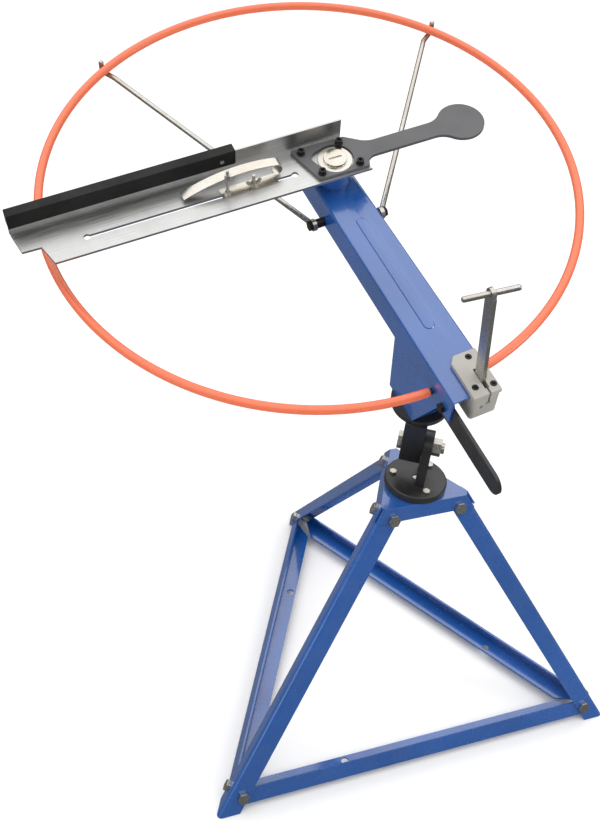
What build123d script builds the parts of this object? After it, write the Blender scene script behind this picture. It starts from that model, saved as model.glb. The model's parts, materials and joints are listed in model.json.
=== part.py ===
from build123d import *
from math import asin, atan, cos, degrees, radians, sin, sqrt, tan
import os

os.makedirs("parts", exist_ok=True)

# Hand-operated clay target trap on a three-legged sheet steel stand. Millimetres.
# The origin is on the ground under the pan axis, +Z is up, and the front of the stand faces -Y.

# ---- Stand ----
foot_inradius = 206.0        # leg faces, from the pan axis, at the ground
shoulder_inradius = 49.0     # the same faces at the height of the plate bolts
shoulder_height = 429.0
plate_top = 448.0
sheet = 3.0                  # sheet thickness of legs, crossbars and plate
leg_face = 35.0
leg_bend = 8.0
leg_top_gap = 1.5            # between a leg's end and the plate
plate_flange = 24.0
plate_corner_back = 5.0      # how far a plate flange stops short of the leg's corner
crossbar_web = 27.0
crossbar_flange = 34.0
crossbar_rise = 12.0         # crossbar's lower face above the ground
crossbar_end_back = 14.0     # how far a crossbar stops short of the leg's corner
foot_bolt_back = 29.5        # foot bolt from the leg's corner, along the side
foot_bolt_height = 27.5
plate_bolt_back = 29.0
stand_bolt = 10.0
stand_hex = 17.0
stand_head = 6.4
small_hex = 13.0
small_head = 5.3
small_nut = 6.5
stand_nut = 5.0              # low lock nuts, because neighbours meet inside each corner
bolt_end = 0.8               # how far a bolt stands out of its nut
bolt_clearance = 0.5
peg_hole_radius = 6.5
peg_hole_along = 125.8
peg_hole_edge = 9.5          # peg hole centre from the crossbar flange's inner edge

# ---- Swivel and tilt joint ----
body_gap = 0.3               # between faces of bodies that move on each other
running_gap = 0.05           # radial, for a shaft in its bore
disc_radius = 48.0
disc_thick = 12.0
pan_bolt_size = 10.0
clamp_bolt = 6.0
clamp_hex = 10.0
clamp_head = 4.0
clamp_nut = 5.0
clamp_circle = 36.0
clamp_first = 150.0
pan_travel = 25.0            # degrees each way in the arc slots
tilt_height = 526.0
tilt_azimuth = -32.9         # direction of the tilt bolt, from its head to its nut
tilt_lean = 18.76            # how far the head leans towards the thrower
tilt_bolt_size = 16.0
tilt_hex = 24.0
lower_tongue = 14.0          # thickness along the tilt bolt
upper_tongue = 32.0
tongue_eye = 24.0
tongue_base = 46.0
tongue_drop = 44.0           # upper tongue below the tilt bolt
tongue_tip = 14.0
yoke_top_wide = 56.0
recess_deep = 3.5
tilt_head = 10.0
tilt_nut_thick = 12.85
tilt_bolt_end = 18.0          # bolt past the lower tongue
recess_wide = 30.0
recess_long = 54.0

# ---- Head: s along the beam to the front, t to the right, h from the beam's top face ----
head_turn = -51.03           # the beam about the head's axis, from the tilt bolt's direction
beam_over_tilt = 243.2
beam_front = 79.0
beam_back = 380.0
beam_left = 32.5
beam_right_front = 38.0
beam_right_back = 31.0
beam_deep = 45.0
beam_bend = 5.0
bead_from = -252.0
bead_to = -38.0
bead_wide = 16.0
bead_high = 1.2
bracket_deep = 105.0         # from the beam's lower edge to the bracket's floor
bracket_top_back = -73.0
bracket_top_front = 52.0
bracket_low_back = -66.0
bracket_low_front = 2.0
flange_centre = -28.0        # yoke flange centre along s
flange_radius = 44.0
flange_thick = 10.0
flange_bolt = 8.0
flange_circle = 26.0

# ---- Throwing arm: x along the arm, y towards the throw, turned about the pivot ----
pivot_back = 335.0
arm_angle = -91.7
arm_under = 32.4             # underside of the arm above the beam's top
arm_thick = 4.0
arm_tip = 466.0
arm_front = 33.0
arm_rear = 42.0
arm_inner_rear = -27.0
arm_inner_front = -44.0
fence_high = 31.6
fence_thick = 3.0
slot_line = 3.6
slot_outer = 371.0
slot_inner = 64.0
slot_wide = 5.0
strip_from = 137.0
strip_back = 9.0             # how far the rubber stands behind the fence
strip_wall = 3.5
strip_low = 10.0             # lower edge of the rubber above the arm
rivet_from_end = 21.0
rivet_head = 3.2
rivet_rise = 1.4
tail_thick = 5.0
tail_opening = 27.0          # round part of the opening, about the pivot
tail_opening_end = (20.0, -10.0)
tail_opening_small = 12.0
tail_shoulder_front = -47.0  # where the plate's front edge turns into the neck
tail_shoulder_rear = -56.0
tail_screw_points = ((42, -26), (-17, -25), (29, 20), (-29, 22))
paddle_reach = 203.0
paddle_radius = 35.0
paddle_blend = 30.0          # radius between the neck and the paddle
neck_half = 14.0
shaft_size = 20.0
bearing_outer = 16.0
bearing_tall = 10.0
housing_radius = 24.0
spigot_radius = 18.0
spigot_drop = 12.0
crank_radius = 24.0
crank_thick = 9.0
crank_throw = 15.0
crank_pin_size = 6.0
anchor_s = -70.0             # spring anchor post, along the beam
anchor_size = 8.0
arm_screw = 6.0
arm_screw_head = 10.0
arm_screw_socket = 2.5       # radius
arm_washer = 1.6
tail_nut = 5.0
tail_nut_hex = 10.0

# ---- Clip on the arm ----
leaf_thick = 1.2
leaf_wide = 18.0
leaf_fold = 20.0             # height of the fold where the leaf turns back
leaf_tip = 228.0
leaf_tip_rise = 5.0
arch_edge = 4.0              # the arch's near edge, behind the slot's line
arch_wide = 15.0
stud_size = 4.6
stud_outer = 166.0
stud_inner = 127.0
stud_nut = 8.0
stud_nut_tall = 4.0
stud_outer_rise = 46.0
stud_inner_rise = 22.0
stud_nut_heights = (0.0, 29.0, 34.0)

# ---- Trigger ----
block_back = 17.0
block_front = 88.0
block_left = 7.0
block_right = 34.0
block_over = 7.0
block_under = 42.0
block_body_back = 40.0
block_screws_at = ((26, 19), (72, 3), (76, 28))
block_screw = 5.0
block_head_size = 8.5
block_head_sunk = 0.5        # screw head below the block's face
block_head_deep = 4.5
groove_wide = 3.0            # narrow groove in front of the lever's slot
groove_low = -15.0
groove_hole = 3.5            # radius
side_hole = 2.8
side_hole_from_lever = 9.5
side_hole_low = -20.0
front_hole_deep = 7.0
lever_line = 17.0            # the release lever's plane, t
lever_thick = 5.6
lever_wide = 18.0
lever_gap = 0.4
lever_pin_s = 64.0
lever_pin_h = -15.0
lever_pin_size = 6.0
lever_rise = 174.0
lever_back_lean = 8.0
lever_drop = 17.0
handle_size = 8.0
handle_long = 77.0
handle_turn = -10.0          # about the lever's length
handle_eye_wall = 4.0
rod_size = 5.6
rod_line = -28.0             # push rod's height, h
lock_lever_wide = 36.0
lock_lever_thick = 5.0
lock_lever_tip = 200.0
lock_pivot_s = 60.0
lock_pivot_h = -35.0
lock_bolt = 8.0

# ---- Guard ring and its rods ----
ring_centre_s = -369.0
ring_centre_t = -19.5
ring_line = -35.0
ring_radius = 401.0
ring_tube = 13.0
ring_bore = 9.0
plug_turn = 4.0
stay_size = 8.0
stay_eye = 9.0
stay_eye_thick = 6.0
stay_bolt = 8.0
stay_spacer = {"left": 14.0, "right": 6.0}    # sleeve between the beam's side and a stay's eye
stay_angles = {"left": -151.6, "right": 125.2}
stay_bolt_s = {"left": -296.0, "right": -262.0}
stay_bolt_h = {"left": -38.0, "right": -18.0}
ring_screw = 6.0
ring_screw_hex = 10.0
ring_screw_head = 4.0
ring_screw_stand = 2.1       # screw head off the beam's inner face
stay_clear = 0.4             # between a stay and the ring it hooks under


def azimuth(angle, length=1.0, height=0.0):
    return Vector(length * cos(radians(angle)), length * sin(radians(angle)), height)


# The three sloping faces of the stand: local x along the side, y up the slope, z outwards.
lean = degrees(atan((foot_inradius - shoulder_inradius) / shoulder_height))
corner_slant = degrees(atan(2 * tan(radians(lean))))


def inradius(height):
    return foot_inradius - height * tan(radians(lean))


def slope(height):
    return height / cos(radians(lean))


def side_plane(angle, outward=0.0):
    normal = azimuth(angle, cos(radians(lean)), sin(radians(lean)))
    plane = Plane(origin=azimuth(angle, foot_inradius), x_dir=azimuth(angle + 90), z_dir=normal)
    return plane.offset(outward)


def floor_plane(angle, height):
    # local x along the side, y from the side towards the pan axis
    return Plane(origin=(0, 0, height), x_dir=azimuth(angle + 90), z_dir=(0, 0, 1))


sides = {"front": 270.0, "right": 30.0, "left": 150.0}
corners = {"front_left": 210.0, "front_right": 330.0, "rear": 90.0}
plate_bolt_along = inradius(shoulder_height) * sqrt(3) - plate_bolt_back
foot_bolt_along = inradius(foot_bolt_height) * sqrt(3) - foot_bolt_back
stand_hole = stand_bolt / 2 + bolt_clearance
hex_factor = 1 / sqrt(3)     # corner radius of a hexagon from its width across flats


def finish(builder, name):
    builder.part.label = name
    export_step(builder.part, "parts/" + name + ".step")


def drill(plane, points, radius, depth):
    with BuildSketch(plane) as holes:
        with Locations(*points):
            Circle(radius)
    extrude(holes.sketch, amount=depth, both=True, mode=Mode.SUBTRACT)


def pin(plane, radius, start, end):
    with BuildSketch(plane.offset(start)) as section:
        Circle(radius)
    extrude(section.sketch, amount=end - start)


def hexagon(plane, across, start, end, bore=0.0):
    with BuildSketch(plane.offset(start)) as section:
        RegularPolygon(across * hex_factor, 6)
        if bore:
            Circle(bore, mode=Mode.SUBTRACT)
    extrude(section.sketch, amount=end - start)


def place(plane, x, y, z=0.0):
    return Plane(plane * Location((x, y, z)))


# ---------------------------------------------------------------- stand
def make_leg(name, angle):
    slant = radians(corner_slant)
    direction = azimuth(angle, -sin(slant), cos(slant))
    start = azimuth(angle, 2 * foot_inradius) - direction * leg_face
    section = Plane(origin=start, x_dir=azimuth(angle + 90), z_dir=direction)
    half = asin(cos(radians(lean)) * cos(radians(60)) * cos(slant) + sin(radians(lean)) * sin(slant))
    along_x = leg_face * sin(half)
    along_y = leg_face * cos(half)
    in_x = sheet * cos(half)
    in_y = sheet * sin(half)
    length = (plate_top + 3 * leg_face) / cos(slant)
    with BuildPart() as leg:
        with BuildSketch(section) as profile:
            with BuildLine():
                Polyline(
                    (along_x, along_y), (0, 0), (-along_x, along_y),
                    (-along_x + in_x, along_y + in_y), (0, sheet / sin(half)),
                    (along_x - in_x, along_y + in_y), close=True)
            make_face()
            fillet(profile.vertices().sort_by(Axis.Y)[0], leg_bend)
            fillet(profile.vertices().sort_by(Axis.Y).filter_by(lambda v: abs(v.X) < 0.01)[-1],
                   leg_bend - sheet)
        extrude(amount=length)
        split(bisect_by=Plane.XY, keep=Keep.TOP)
        split(bisect_by=Plane.XY.offset(plate_top - sheet - leg_top_gap), keep=Keep.BOTTOM)
        for side, along in ((angle + 60, -1), (angle - 60, 1)):
            points = [(along * foot_bolt_along, slope(foot_bolt_height)),
                      (along * plate_bolt_along, slope(shoulder_height))]
            drill(side_plane(side), points, stand_hole, 2 * sheet)
    finish(leg, name)


for corner, corner_angle in corners.items():
    make_leg("leg_" + corner, corner_angle)


def make_crossbar(name, angle):
    web_low = slope(crossbar_rise)
    half_length = inradius(crossbar_rise + crossbar_web) * sqrt(3) - crossbar_end_back
    face = side_plane(angle, -2 * sheet)
    outer = inradius(crossbar_rise) - 1.5 * sheet / cos(radians(lean))
    inner = outer - crossbar_flange
    end_outer = half_length
    end_inner = inner * sqrt(3) - 2 * sheet
    with BuildPart() as bar:
        with BuildSketch(face):
            with Locations((0, web_low + crossbar_web / 2)):
                Rectangle(2 * half_length, crossbar_web)
        extrude(amount=sheet)
        with BuildSketch(floor_plane(angle, crossbar_rise)):
            with BuildLine():
                Polyline((-end_outer, -outer), (end_outer, -outer),
                         (end_inner, -inner), (-end_inner, -inner), close=True)
            make_face()
        extrude(amount=sheet)
        points = [(side * foot_bolt_along, slope(foot_bolt_height)) for side in (-1, 1)]
        drill(side_plane(angle), points, stand_hole, 4 * sheet)
        drill(floor_plane(angle, crossbar_rise), [(-peg_hole_along, -(inner + peg_hole_edge))],
              peg_hole_radius, 2 * sheet)
    finish(bar, name)
    return inner + peg_hole_edge


for side_name, side_angle in sides.items():
    peg_hole_normal = make_crossbar("crossbar_" + side_name, side_angle)

peg_circle = sqrt(peg_hole_normal**2 + peg_hole_along**2)

plate_edge = inradius(plate_top) + sheet / cos(radians(lean))
plate_half = inradius(plate_top) * sqrt(3) - plate_corner_back
flange_low = slope(plate_top) - plate_flange
flange_half = inradius(flange_low * cos(radians(lean))) * sqrt(3) - plate_corner_back
slot_half = clamp_bolt / 2 + bolt_clearance

with BuildPart() as top_plate:
    with BuildSketch(Plane.XY.offset(plate_top - sheet)):
        with BuildLine():
            outline = []
            for side_angle in (270, 30, 150):
                for end in (-1, 1):
                    point = azimuth(side_angle, plate_edge) + azimuth(side_angle + 90, end * plate_half)
                    outline.append((point.X, point.Y))
            Polyline(*outline, close=True)
        make_face()
    extrude(amount=sheet)
    for side_angle in sides.values():
        with BuildSketch(side_plane(side_angle)):
            with BuildLine():
                Polyline((-plate_half, slope(plate_top)), (plate_half, slope(plate_top)),
                         (flange_half, flange_low), (-flange_half, flange_low), close=True)
            make_face()
        extrude(amount=sheet)
        points = [(end * plate_bolt_along, slope(shoulder_height)) for end in (-1, 1)]
        drill(side_plane(side_angle), points, stand_hole, 2 * sheet)
    split(bisect_by=Plane.XY.offset(plate_top), keep=Keep.BOTTOM)
    with BuildSketch(Plane.XY.offset(plate_top)):
        Circle(pan_bolt_size / 2 + running_gap)
        for bolt in range(3):
            SlotArc(CenterArc((0, 0), clamp_circle, clamp_first + 120 * bolt - pan_travel, 2 * pan_travel),
                    2 * slot_half)
    extrude(amount=-sheet, mode=Mode.SUBTRACT)
finish(top_plate, "top_plate")


def stand_fasteners(name, along, height, head_face, nut_face, is_nut):
    # bolt heads outside the sheets, nuts inside, on all three sides
    with BuildPart() as group:
        for angle in sides.values():
            for end in (-1, 1):
                axis = place(side_plane(angle), end * along, slope(height))
                if is_nut:
                    hexagon(axis, stand_hex, nut_face - stand_nut, nut_face, stand_bolt / 2)
                else:
                    hexagon(axis, stand_hex, head_face, head_face + stand_head)
                    pin(axis, stand_bolt / 2, nut_face - stand_nut - bolt_end, head_face)
    finish(group, name)


stand_fasteners("plate_bolts", plate_bolt_along, shoulder_height, sheet, -sheet, False)
stand_fasteners("plate_nuts", plate_bolt_along, shoulder_height, sheet, -sheet, True)
stand_fasteners("foot_bolts", foot_bolt_along, foot_bolt_height, 0.0, -2 * sheet, False)
stand_fasteners("foot_nuts", foot_bolt_along, foot_bolt_height, 0.0, -2 * sheet, True)

# ---------------------------------------------------------------- swivel
disc_low = plate_top + body_gap
disc_high = disc_low + disc_thick
tilt_point = Vector(0, 0, tilt_height)
tilt_dir = azimuth(tilt_azimuth)
lower_side = Plane(origin=tilt_point, x_dir=azimuth(tilt_azimuth + 90), z_dir=tilt_dir)
base_down = tilt_height - disc_high

with BuildPart() as swivel_base:
    with BuildSketch(Plane.XY.offset(disc_low)):
        Circle(disc_radius)
    extrude(amount=disc_thick)
    with BuildSketch(lower_side.offset(body_gap / 2)):
        Circle(tongue_eye)
        with Locations((0, -base_down)):
            Rectangle(tongue_base, 2)
        make_hull()
    extrude(amount=lower_tongue)
    drill(lower_side, [(0, 0)], tilt_bolt_size / 2, 2 * lower_tongue)
    with BuildSketch(Plane.XY.offset(disc_low)):
        Circle(pan_bolt_size / 2)
    extrude(amount=disc_thick, mode=Mode.SUBTRACT)
    with BuildSketch(Plane.XY.offset(disc_low)):
        with PolarLocations(clamp_circle, 3, clamp_first):
            Circle(clamp_bolt / 2)
    extrude(amount=disc_thick, mode=Mode.SUBTRACT)
    rim = swivel_base.edges().filter_by(GeomType.CIRCLE).filter_by(lambda e: e.radius > disc_radius - 1)
    fillet(rim.sort_by(Axis.Z)[-1], 3)
finish(swivel_base, "swivel_base")

with BuildPart() as pan_bolt:
    pin(Plane.XY, pan_bolt_size / 2, plate_top - sheet - body_gap, disc_high - 1)
    hexagon(Plane.XY, stand_hex, plate_top - sheet - body_gap - stand_head, plate_top - sheet - body_gap)
finish(pan_bolt, "pan_bolt")

with BuildPart() as clamp_bolts:
    for bolt in range(3):
        axis = Plane(origin=azimuth(clamp_first + 120 * bolt, clamp_circle))
        hexagon(axis, clamp_hex, disc_high, disc_high + clamp_head)
        pin(axis, clamp_bolt / 2, plate_top - sheet - 2 * clamp_nut, disc_high)
finish(clamp_bolts, "clamp_bolts")

with BuildPart() as clamp_nuts:
    for bolt in range(3):
        axis = Plane(origin=azimuth(clamp_first + 120 * bolt, clamp_circle))
        top = plate_top - sheet - body_gap
        hexagon(axis, clamp_hex, top - clamp_nut, top, clamp_bolt / 2)
finish(clamp_nuts, "clamp_nuts")

with BuildPart() as tilt_bolt:
    head_face = -body_gap / 2 - upper_tongue + recess_deep - body_gap
    hexagon(lower_side, tilt_hex, head_face - tilt_head, head_face)
    pin(lower_side, tilt_bolt_size / 2, head_face, lower_tongue + tilt_bolt_end)
finish(tilt_bolt, "tilt_bolt")

with BuildPart() as tilt_nut:
    nut_face = lower_tongue + body_gap / 2
    hexagon(lower_side, tilt_hex, nut_face, nut_face + tilt_nut_thick, tilt_bolt_size / 2)
finish(tilt_nut, "tilt_nut")

# ---------------------------------------------------------------- head frames
head_up = azimuth(tilt_azimuth - 90, sin(radians(tilt_lean)), cos(radians(tilt_lean)))
tilt_frame = Plane(origin=tilt_point, x_dir=tilt_dir, z_dir=head_up)
yoke_side = Plane(origin=tilt_point, x_dir=tilt_frame.y_dir, z_dir=tilt_dir)
head = Plane(tilt_frame * Location((0, 0, beam_over_tilt), (0, 0, head_turn)))
pivot = place(head, -pivot_back, 0)
arm = Plane(pivot * Location((0, 0, 0), (0, 0, arm_angle)))


def across(s, t, h):
    # local x along s, y along h, z along -t
    return Plane(head * Plane.XZ * Location((s, h, -t)))


def right_edge(s):
    share = (s + beam_back) / (beam_front + beam_back)
    return beam_right_back + share * (beam_right_front - beam_right_back)


bracket_floor = -(beam_deep + bracket_deep)
flange_top = bracket_floor - sheet

# ---------------------------------------------------------------- yoke
with BuildPart() as tilt_yoke:
    with BuildSketch(place(head, flange_centre, 0, flange_top - flange_thick)):
        Circle(flange_radius)
    extrude(amount=flange_thick)
    with BuildSketch(yoke_side.offset(-body_gap / 2)):
        with Locations((0, tongue_tip - tongue_drop)):
            Circle(tongue_tip)
        with Locations((4, beam_over_tilt + flange_top - flange_thick)):
            Rectangle(yoke_top_wide, 2)
        make_hull()
    extrude(amount=-upper_tongue)
    drill(yoke_side, [(0, 0)], tilt_bolt_size / 2 + running_gap, 2 * upper_tongue)
    with BuildSketch(yoke_side.offset(-body_gap / 2 - upper_tongue)):
        with Locations((0, -2)):
            SlotOverall(recess_long, recess_wide, rotation=90)
    extrude(amount=recess_deep, mode=Mode.SUBTRACT)
    with BuildSketch(place(head, flange_centre, 0, flange_top)):
        with PolarLocations(flange_circle, 2, -head_turn):
            Circle(flange_bolt / 2)
    extrude(amount=-flange_thick, mode=Mode.SUBTRACT)
finish(tilt_yoke, "tilt_yoke")

with BuildPart() as flange_bolts:
    for bolt in range(2):
        turn = radians(180 * bolt - head_turn)
        axis = place(head, flange_centre + flange_circle * cos(turn), flange_circle * sin(turn), flange_top)
        hexagon(axis, small_hex, sheet, sheet + small_head)
        pin(axis, flange_bolt / 2, -flange_thick - small_nut - bolt_end, sheet)
finish(flange_bolts, "flange_bolts")

with BuildPart() as flange_nuts:
    for bolt in range(2):
        turn = radians(180 * bolt - head_turn)
        axis = place(head, flange_centre + flange_circle * cos(turn), flange_circle * sin(turn), flange_top)
        hexagon(axis, small_hex, -flange_thick - small_nut, -flange_thick, flange_bolt / 2)
finish(flange_nuts, "flange_nuts")

# ---------------------------------------------------------------- bracket and beam
bracket_right = right_edge(bracket_top_back) - sheet / 2
with BuildPart() as mount_bracket:
    for face_t in (-beam_left, bracket_right):
        with BuildSketch(across(0, face_t + sheet, 0)):
            with BuildLine():
                Polyline((bracket_top_back, -beam_deep), (bracket_top_front, -beam_deep),
                         (bracket_low_front, flange_top), (bracket_low_back, flange_top), close=True)
            make_face()
        extrude(amount=sheet)
    with BuildSketch(place(head, 0, 0, flange_top)):
        with Locations(((bracket_low_back + bracket_low_front) / 2, (bracket_right + sheet - beam_left) / 2)):
            Rectangle(bracket_low_front - bracket_low_back, beam_left + bracket_right + sheet)
    extrude(amount=sheet)
    with BuildSketch(place(head, flange_centre, 0, flange_top)):
        with PolarLocations(flange_circle, 2, -head_turn):
            Circle(flange_bolt / 2)
    extrude(amount=2 * sheet, mode=Mode.SUBTRACT)
finish(mount_bracket, "mount_bracket")

block_pocket_left = -block_left - lever_gap
ring_left_angle = -degrees(asin((beam_left + ring_centre_t + 1.0) / ring_radius))
ring_right_angle = degrees(asin((right_edge(28) + 1.0 - ring_centre_t) / ring_radius))

ring_plane = place(head, ring_centre_s, ring_centre_t, ring_line)


def ring_section(angle):
    # a plane across the ring's tube, at an angle from straight ahead
    turned = Plane(ring_plane * Location((0, 0, 0), (0, 0, angle)))
    origin = turned.origin + turned.x_dir * ring_radius
    return Plane(origin=origin, x_dir=turned.x_dir, z_dir=-turned.y_dir)


ring_axis = Axis(ring_plane.origin, ring_plane.z_dir)
with BuildPart() as beam_channel:
    with BuildSketch(place(head, 0, 0, -beam_deep)):
        with BuildLine():
            Polyline((-beam_back, -beam_left), (beam_front, -beam_left),
                     (beam_front, beam_right_front), (-beam_back, beam_right_back), close=True)
        make_face()
    extrude(amount=beam_deep)
    long_edges = beam_channel.edges().sort_by(SortBy.LENGTH)[-4:]
    fillet(long_edges.sort_by(Axis(tilt_point, head_up))[-2:], beam_bend)
    with BuildSketch(place(head, 0, 0, -beam_deep)):
        with BuildLine():
            Polyline((-beam_back - 1, sheet - beam_left), (beam_front + 1, sheet - beam_left),
                     (beam_front + 1, beam_right_front - sheet), (-beam_back - 1, beam_right_back - sheet),
                     close=True)
        make_face()
    extrude(amount=beam_deep - sheet, mode=Mode.SUBTRACT)
    with BuildSketch(place(head, 0, 0, 0)):
        with Locations(((bead_from + bead_to) / 2, 0)):
            SlotOverall(bead_to - bead_from, bead_wide)
    extrude(amount=bead_high, taper=35)
    with BuildSketch(pivot):
        Circle(spigot_radius)
    extrude(amount=-sheet, mode=Mode.SUBTRACT)
    with BuildSketch(place(head, 0, 0, -sheet)):
        with BuildLine():
            Polyline((block_body_back - lever_gap, block_pocket_left), (beam_front, block_pocket_left),
                     (beam_front, block_right + lever_gap), (block_body_back - lever_gap, block_right + lever_gap),
                     close=True)
        make_face()
    extrude(amount=sheet, mode=Mode.SUBTRACT)
    drill(across(lock_pivot_s, -beam_left, lock_pivot_h), [(0, 0)], lock_bolt / 2, 2 * sheet)
    for stay, face_t in (("left", -beam_left), ("right", beam_right_back)):
        drill(across(stay_bolt_s[stay], face_t, stay_bolt_h[stay]), [(0, 0)], stay_bolt / 2, 2 * sheet)
    for angle in (ring_left_angle, ring_right_angle):
        drill(ring_section(angle), [(0, 0)], ring_screw / 2 + bolt_clearance, 3 * sheet)
    drill(place(head, block_screws_at[0][0], block_screws_at[0][1]), [(0, 0)], block_screw / 2, 2 * sheet)
finish(beam_channel, "beam_channel")

# ---------------------------------------------------------------- arm pivot
housing_top = arm_under - 5.0
arm_top = arm_under + arm_thick
hub_radius = 22.0
crank_top = -spigot_drop - bearing_tall / 2

with BuildPart() as bearing_housing:
    pin(pivot, housing_radius, 0, housing_top)
    pin(pivot, spigot_radius, -spigot_drop, 0)
    with BuildSketch(place(pivot, 0, 0, -spigot_drop)):
        Circle(bearing_outer)
    extrude(amount=housing_top + spigot_drop, mode=Mode.SUBTRACT)
finish(bearing_housing, "bearing_housing")


def make_bearing(name, low):
    with BuildPart() as bearing:
        with BuildSketch(place(pivot, 0, 0, low)):
            Circle(bearing_outer)
            Circle(shaft_size / 2 + running_gap, mode=Mode.SUBTRACT)
        extrude(amount=bearing_tall)
    finish(bearing, name)


make_bearing("upper_bearing", housing_top - bearing_tall - body_gap)
make_bearing("lower_bearing", -spigot_drop)

with BuildPart() as arm_shaft:
    pin(pivot, shaft_size / 2, crank_top - crank_thick - 3, arm_top)
finish(arm_shaft, "arm_shaft")

with BuildPart() as arm_hub:
    with BuildSketch(place(pivot, 0, 0, housing_top + body_gap)):
        Circle(hub_radius)
        Circle(shaft_size / 2, mode=Mode.SUBTRACT)
    extrude(amount=arm_under - housing_top - body_gap)
finish(arm_hub, "arm_hub")

with BuildPart() as hub_cap:
    pin(pivot, tail_opening - 2, arm_top, arm_top + 3)
    pin(pivot, tail_opening - 10, arm_top + 3, arm_top + 7)
    with BuildSketch(place(arm, 0, 0, arm_top + 7)):
        SlotOverall(20, 2.4)
    extrude(amount=-2, mode=Mode.SUBTRACT)
finish(hub_cap, "hub_cap")

with BuildPart() as crank:
    with BuildSketch(place(arm, 0, 0, crank_top - crank_thick)):
        Circle(crank_radius)
        Circle(shaft_size / 2, mode=Mode.SUBTRACT)
        with Locations((crank_throw * cos(radians(-arm_angle)), crank_throw * sin(radians(-arm_angle)))):
            Circle(crank_pin_size / 2, mode=Mode.SUBTRACT)
    extrude(amount=crank_thick)
finish(crank, "crank")

pin_axis = place(pivot, crank_throw, 0)
spring_line = crank_top - crank_thick - 9
with BuildPart() as crank_pin:
    pin(pin_axis, crank_pin_size / 2, spring_line - 6, crank_top)
finish(crank_pin, "crank_pin")

# ---------------------------------------------------------------- main spring
spring_radius = 9.0
spring_wire = 2.5
spring_back = -pivot_back + crank_throw + crank_pin_size + 14
spring_front = anchor_s - anchor_size - 10
spring_axis = Plane(origin=place(head, spring_back, 0, spring_line).origin, x_dir=head.y_dir, z_dir=head.x_dir)
hook_plane = place(head, 0, 0, spring_line)


def spring_hook(centre_s, pin_radius, toward):
    # an eye round a pin and the straight piece that joins it to the coil
    inner = pin_radius + body_gap
    with BuildSketch(place(hook_plane, centre_s, 0, -spring_wire / 2)) as eye:
        Circle(inner + spring_wire)
        with Locations((toward * 10, 0)):
            Rectangle(20, spring_wire)
        Circle(inner, mode=Mode.SUBTRACT)
    extrude(eye.sketch, amount=spring_wire)


with BuildPart() as main_spring:
    with BuildSketch(spring_axis):
        Circle(spring_radius)
    extrude(amount=spring_front - spring_back)
    spring_hook(-pivot_back + crank_throw, crank_pin_size / 2, 1)
    spring_hook(anchor_s, anchor_size / 2, -1)
finish(main_spring, "main_spring")

with BuildPart() as spring_anchor:
    axis = place(head, anchor_s, 0)
    pin(axis, anchor_size / 2, spring_line - 7, -sheet)
    hexagon(axis, small_hex, -sheet - small_nut, -sheet)
finish(spring_anchor, "spring_anchor")

# ---------------------------------------------------------------- throwing arm
arm_sheet = place(arm, 0, 0, arm_under)
with BuildPart() as throwing_arm:
    with BuildSketch(arm_sheet) as plan:
        with BuildLine():
            Polyline((arm_inner_rear, -arm_rear), (arm_tip, -arm_rear), (arm_tip - 6, -3),
                     (arm_tip - 33, -2), (arm_tip - 42, arm_front - 2), (arm_inner_front, arm_front),
                     close=True)
        make_face()
        fillet(plan.vertices().group_by(Axis.X)[-1], 3)
        with Locations(((slot_inner + slot_outer) / 2, slot_line)):
            SlotOverall(slot_outer - slot_inner, slot_wide, mode=Mode.SUBTRACT)
        with Locations((slot_outer, slot_line), (slot_inner, slot_line)):
            Circle(slot_wide, mode=Mode.SUBTRACT)
        Circle(shaft_size / 2, mode=Mode.SUBTRACT)
    extrude(amount=arm_thick)
    with BuildSketch(arm_sheet):
        with Locations(((arm_inner_rear + arm_tip) / 2, -arm_rear - fence_thick / 2)):
            Rectangle(arm_tip - arm_inner_rear, fence_thick)
    extrude(amount=arm_thick + fence_high)
    drill(arm_sheet, tail_screw_points, arm_screw / 2, 2 * arm_thick)
finish(throwing_arm, "throwing_arm")

strip_face = Plane(origin=place(arm, strip_from, 0, arm_top).origin, x_dir=arm.y_dir, z_dir=arm.x_dir)
strip_rear = -arm_rear - fence_thick - strip_back
strip_top = fence_high + strip_wall
with BuildPart() as rubber_strip:
    with BuildSketch(strip_face):
        with BuildLine():
            Polyline((strip_rear, strip_top), (strip_wall - arm_rear, strip_top),
                     (strip_wall - arm_rear, strip_low), (-arm_rear, strip_low),
                     (-arm_rear, fence_high), (-arm_rear - fence_thick, fence_high),
                     (-arm_rear - fence_thick, strip_low), (strip_rear, strip_low), close=True)
        make_face()
    extrude(amount=arm_tip - strip_from)
finish(rubber_strip, "rubber_strip")

with BuildPart() as strip_rivets:
    rivet_face = place(arm, strip_from + rivet_from_end, strip_wall - arm_rear, arm_top + rivet_from_end)
    pin(Plane(origin=rivet_face.origin, x_dir=arm.x_dir, z_dir=arm.y_dir), rivet_head, 0, rivet_rise)
finish(strip_rivets, "strip_rivets")

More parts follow.
